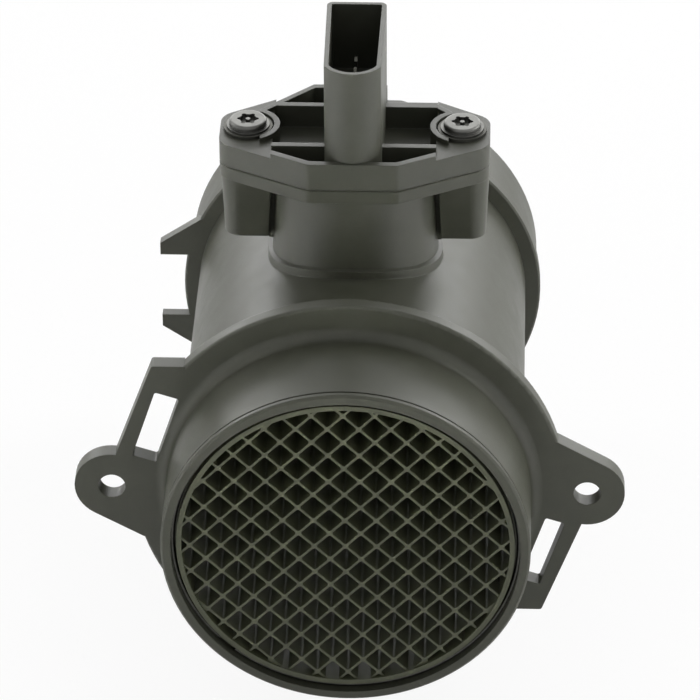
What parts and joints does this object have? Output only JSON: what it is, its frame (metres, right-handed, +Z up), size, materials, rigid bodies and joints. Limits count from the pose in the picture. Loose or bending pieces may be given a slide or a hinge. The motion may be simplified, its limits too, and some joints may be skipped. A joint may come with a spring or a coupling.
{
  "type": "mass airflow sensor",
  "caption": "Plastic intake tube with a latticed inlet, an eared flange, an outlet spigot and a plug-in probe under a ribbed cover with an upright connector.",
  "frame": {"origin": "centre of the two ear holes, on the flange's front face, which is on the tube's axis", "axes": "+Y along the tube's axis in the direction of the air flow, +Z up through the connector's mouth, +X to the right seen from the inlet"},
  "size_m": [0.1422, 0.148, 0.1598],
  "materials": {
    "housing": "fine moulded grain",
    "cover": "fine moulded grain",
    "flow_straightener": "smooth moulded",
    "snap_ring": "blackened spring wire",
    "wire_screen": "woven bright wire",
    "screen_ring": "smooth moulded",
    "probe": "smooth moulded",
    "seals": "soft, slightly oiled",
    "heat_sink": "as rolled",
    "ceramic": "fired ceramic",
    "chips": "moulded resin",
    "sensor_film": "glassy film on ceramic",
    "thermistor": "glass bead",
    "bond_wires": "bright",
    "screws": "dull zinc",
    "washers": "dull zinc",
    "inserts": "turned",
    "terminals": "tinned"
  },
  "bodies": {
    "root": {"housing": "housing", "cover": "cover", "flow_straightener": "flow_straightener", "snap_ring": "snap_ring", "wire_screen": "wire_screen", "screen_ring": "screen_ring", "probe_body": "probe", "probe_lid": "probe", "probe_o_ring": "seals", "collar_gasket": "seals", "heat_sink": "heat_sink", "hybrid_board": "ceramic", "circuit_chips": "chips", "intermediate_module": "ceramic", "power_module": "chips", "sensor_holder": "probe", "sensor_element": "sensor_film", "air_temperature_sensor": "thermistor", "bond_wires": "bond_wires", "cover_screw_left": "screws", "cover_screw_right": "screws", "screw_washer_left": "washers", "screw_washer_right": "washers", "threaded_insert_left": "inserts", "threaded_insert_right": "inserts", "terminal_pin_1": "terminals", "terminal_pin_2": "terminals", "terminal_pin_3": "terminals", "terminal_pin_4": "terminals"}
  },
  "joints": []
}
